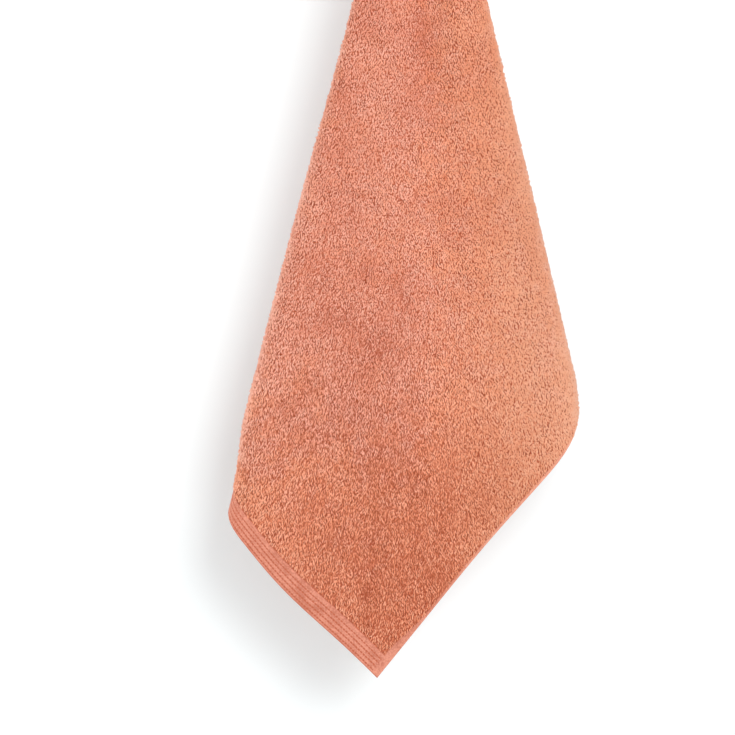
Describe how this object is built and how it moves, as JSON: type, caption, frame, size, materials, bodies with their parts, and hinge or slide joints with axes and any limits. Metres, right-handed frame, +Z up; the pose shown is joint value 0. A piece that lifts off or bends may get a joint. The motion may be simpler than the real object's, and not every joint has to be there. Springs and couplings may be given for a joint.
{
  "type": "bath towel",
  "caption": "Terry bath towel with ribbed end hems, hung up by one point of a long side and fallen into soft folds.",
  "frame": {"origin": "the hang point, at the middle of the gathered top edge", "axes": "+Z up, +X to the right of the front panel, and the front panel faces -Y"},
  "size_m": [0.418, 0.1558, 1.11],
  "materials": {
    "terry": "looped cotton terry, coral, matt"
  },
  "bodies": {
    "root": {"towel": "terry"}
  },
  "joints": []
}
